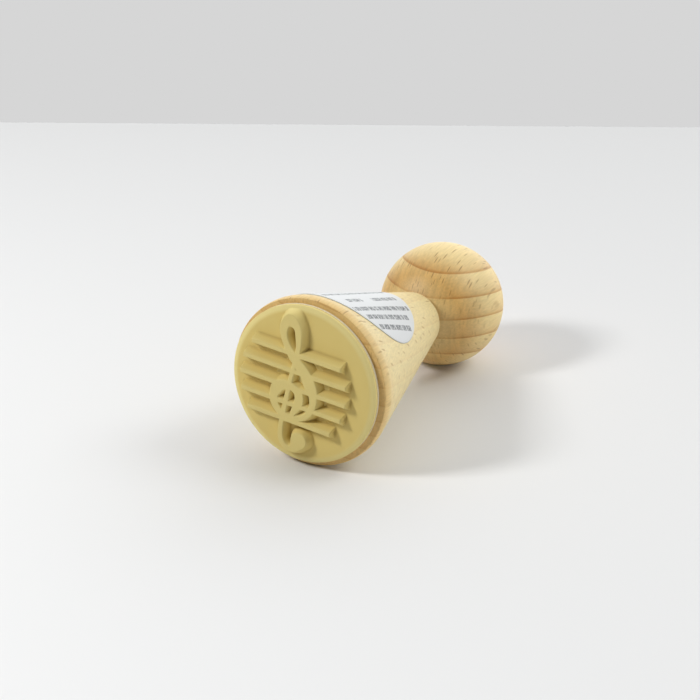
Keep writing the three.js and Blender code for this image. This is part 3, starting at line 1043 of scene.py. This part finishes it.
class HANDSTAMP_OT_stage(bpy.types.Operator):
    """Lay the floor and set the lights and the camera"""

    bl_idname = "hand_stamp.stage"
    bl_label = "Set Stage"

    def execute(self, context):
        stage = context.scene.hand_stamp.stage
        scene = context.scene
        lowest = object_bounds()[0][2]

        edge = Vector((math.cos(stage.far_edge_turn), math.sin(stage.far_edge_turn), 0))
        away = Vector((-edge.y, edge.x, 0))
        half = stage.floor_size / 2
        far = away * stage.far_edge
        near = away * (stage.far_edge - stage.floor_size)
        corners = [far - edge * half, near - edge * half, near + edge * half, far + edge * half]
        mesh = bpy.data.meshes.new("floor")
        mesh.from_pydata([corner + Vector((0, 0, lowest)) for corner in corners], [], [(0, 1, 2, 3)])
        floor = bpy.data.objects.new("floor", mesh)
        mesh.materials.append(matt_floor(stage))
        scene.collection.objects.link(floor)
        floor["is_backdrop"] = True

        world = bpy.data.worlds.new("daylight from behind")
        world.use_nodes = True
        sky = world.node_tree
        sky.nodes.clear()
        way = add(sky, "ShaderNodeTexCoord").outputs["Generated"]
        back = add(sky, "ShaderNodeSeparateXYZ", {0: way}).outputs["Y"]
        glow = add(sky, "ShaderNodeMapRange", {"Value": back, "From Min": -1, "From Max": 1})
        for operation, amount in (("POWER", stage.daylight_focus), ("MULTIPLY", stage.daylight_strength)):
            glow = add(sky, "ShaderNodeMath", {0: glow, 1: amount}, operation=operation)
        lighting = add(sky, "ShaderNodeBackground", {"Color": (*stage.daylight, 1), "Strength": glow})
        wall = add(sky, "ShaderNodeBackground", {"Color": (*stage.surround, 1)})
        seen = add(sky, "ShaderNodeLightPath").outputs["Is Camera Ray"]
        both = add(sky, "ShaderNodeMixShader", {0: seen, 1: lighting, 2: wall})
        add(sky, "ShaderNodeOutputWorld", {"Surface": both})
        scene.world = world

        # Each lamp's place and side in metres, and its power in watts
        for name, spot, size, power, tint in (
            ("left lamp", (-0.269, -0.305, 0.3525), 0.105, 1.36, stage.lamplight),
            ("right window", (0.43, 0.21, 0.525), 0.28, 1.12, stage.daylight),
        ):
            lamp = bpy.data.lights.new(name, "AREA")
            lamp.size = size
            lamp.energy = power
            lamp.color = tint
            light = bpy.data.objects.new(name, lamp)
            light.location = spot
            light.rotation_euler = (-Vector(spot)).to_track_quat("-Z", "Y").to_euler()
            scene.collection.objects.link(light)

        aim = Vector((-6.03, -5.42, 11.68)) * MM
        backwards = Vector((
            math.sin(stage.azimuth) * math.cos(stage.elevation),
            -math.cos(stage.azimuth) * math.cos(stage.elevation),
            math.sin(stage.elevation),
        ))
        lens = bpy.data.cameras.new("camera")
        lens.lens = stage.lens
        lens.clip_start = 0.01
        camera = bpy.data.objects.new("camera", lens)
        camera.location = aim + backwards * stage.distance
        camera.rotation_euler = (-backwards).to_track_quat("-Z", "Y").to_euler()
        scene.collection.objects.link(camera)
        scene.camera = camera
        scene.view_settings.view_transform = "Standard"
        return {"FINISHED"}


class HANDSTAMP_PT_panel(bpy.types.Panel):
    """Builds the stamp's pieces and lists their sizes and colours"""

    bl_idname = "HANDSTAMP_PT_panel"
    bl_label = "Hand Stamp"
    bl_space_type = "VIEW_3D"
    bl_region_type = "UI"
    bl_category = "Hand Stamp"

    def draw(self, context):
        stamp = context.scene.hand_stamp
        for operator in OPERATORS:
            self.layout.operator(operator.bl_idname)
        for group in (stamp.handle, stamp.die, stamp.label, stamp.stage):
            box = self.layout.box()
            for name in group.__annotations__:
                box.prop(group, name)


OPERATORS = (
    HANDSTAMP_OT_handle,
    HANDSTAMP_OT_foam,
    HANDSTAMP_OT_die,
    HANDSTAMP_OT_label,
    HANDSTAMP_OT_stage,
)
CLASSES = (
    HandStampHandle,
    HandStampDie,
    HandStampLabel,
    HandStampStage,
    HandStampSettings,
    *OPERATORS,
    HANDSTAMP_PT_panel,
)


def register():
    for item in CLASSES:
        bpy.utils.register_class(item)
    bpy.types.Scene.hand_stamp = PointerProperty(type=HandStampSettings)


def unregister():
    del bpy.types.Scene.hand_stamp
    for item in reversed(CLASSES):
        bpy.utils.unregister_class(item)


def main():
    register()
    bpy.ops.hand_stamp.handle()
    bpy.ops.hand_stamp.foam()
    bpy.ops.hand_stamp.die()
    bpy.ops.hand_stamp.label()
    bpy.ops.hand_stamp.stage()


if __name__ == "__main__":
    main()
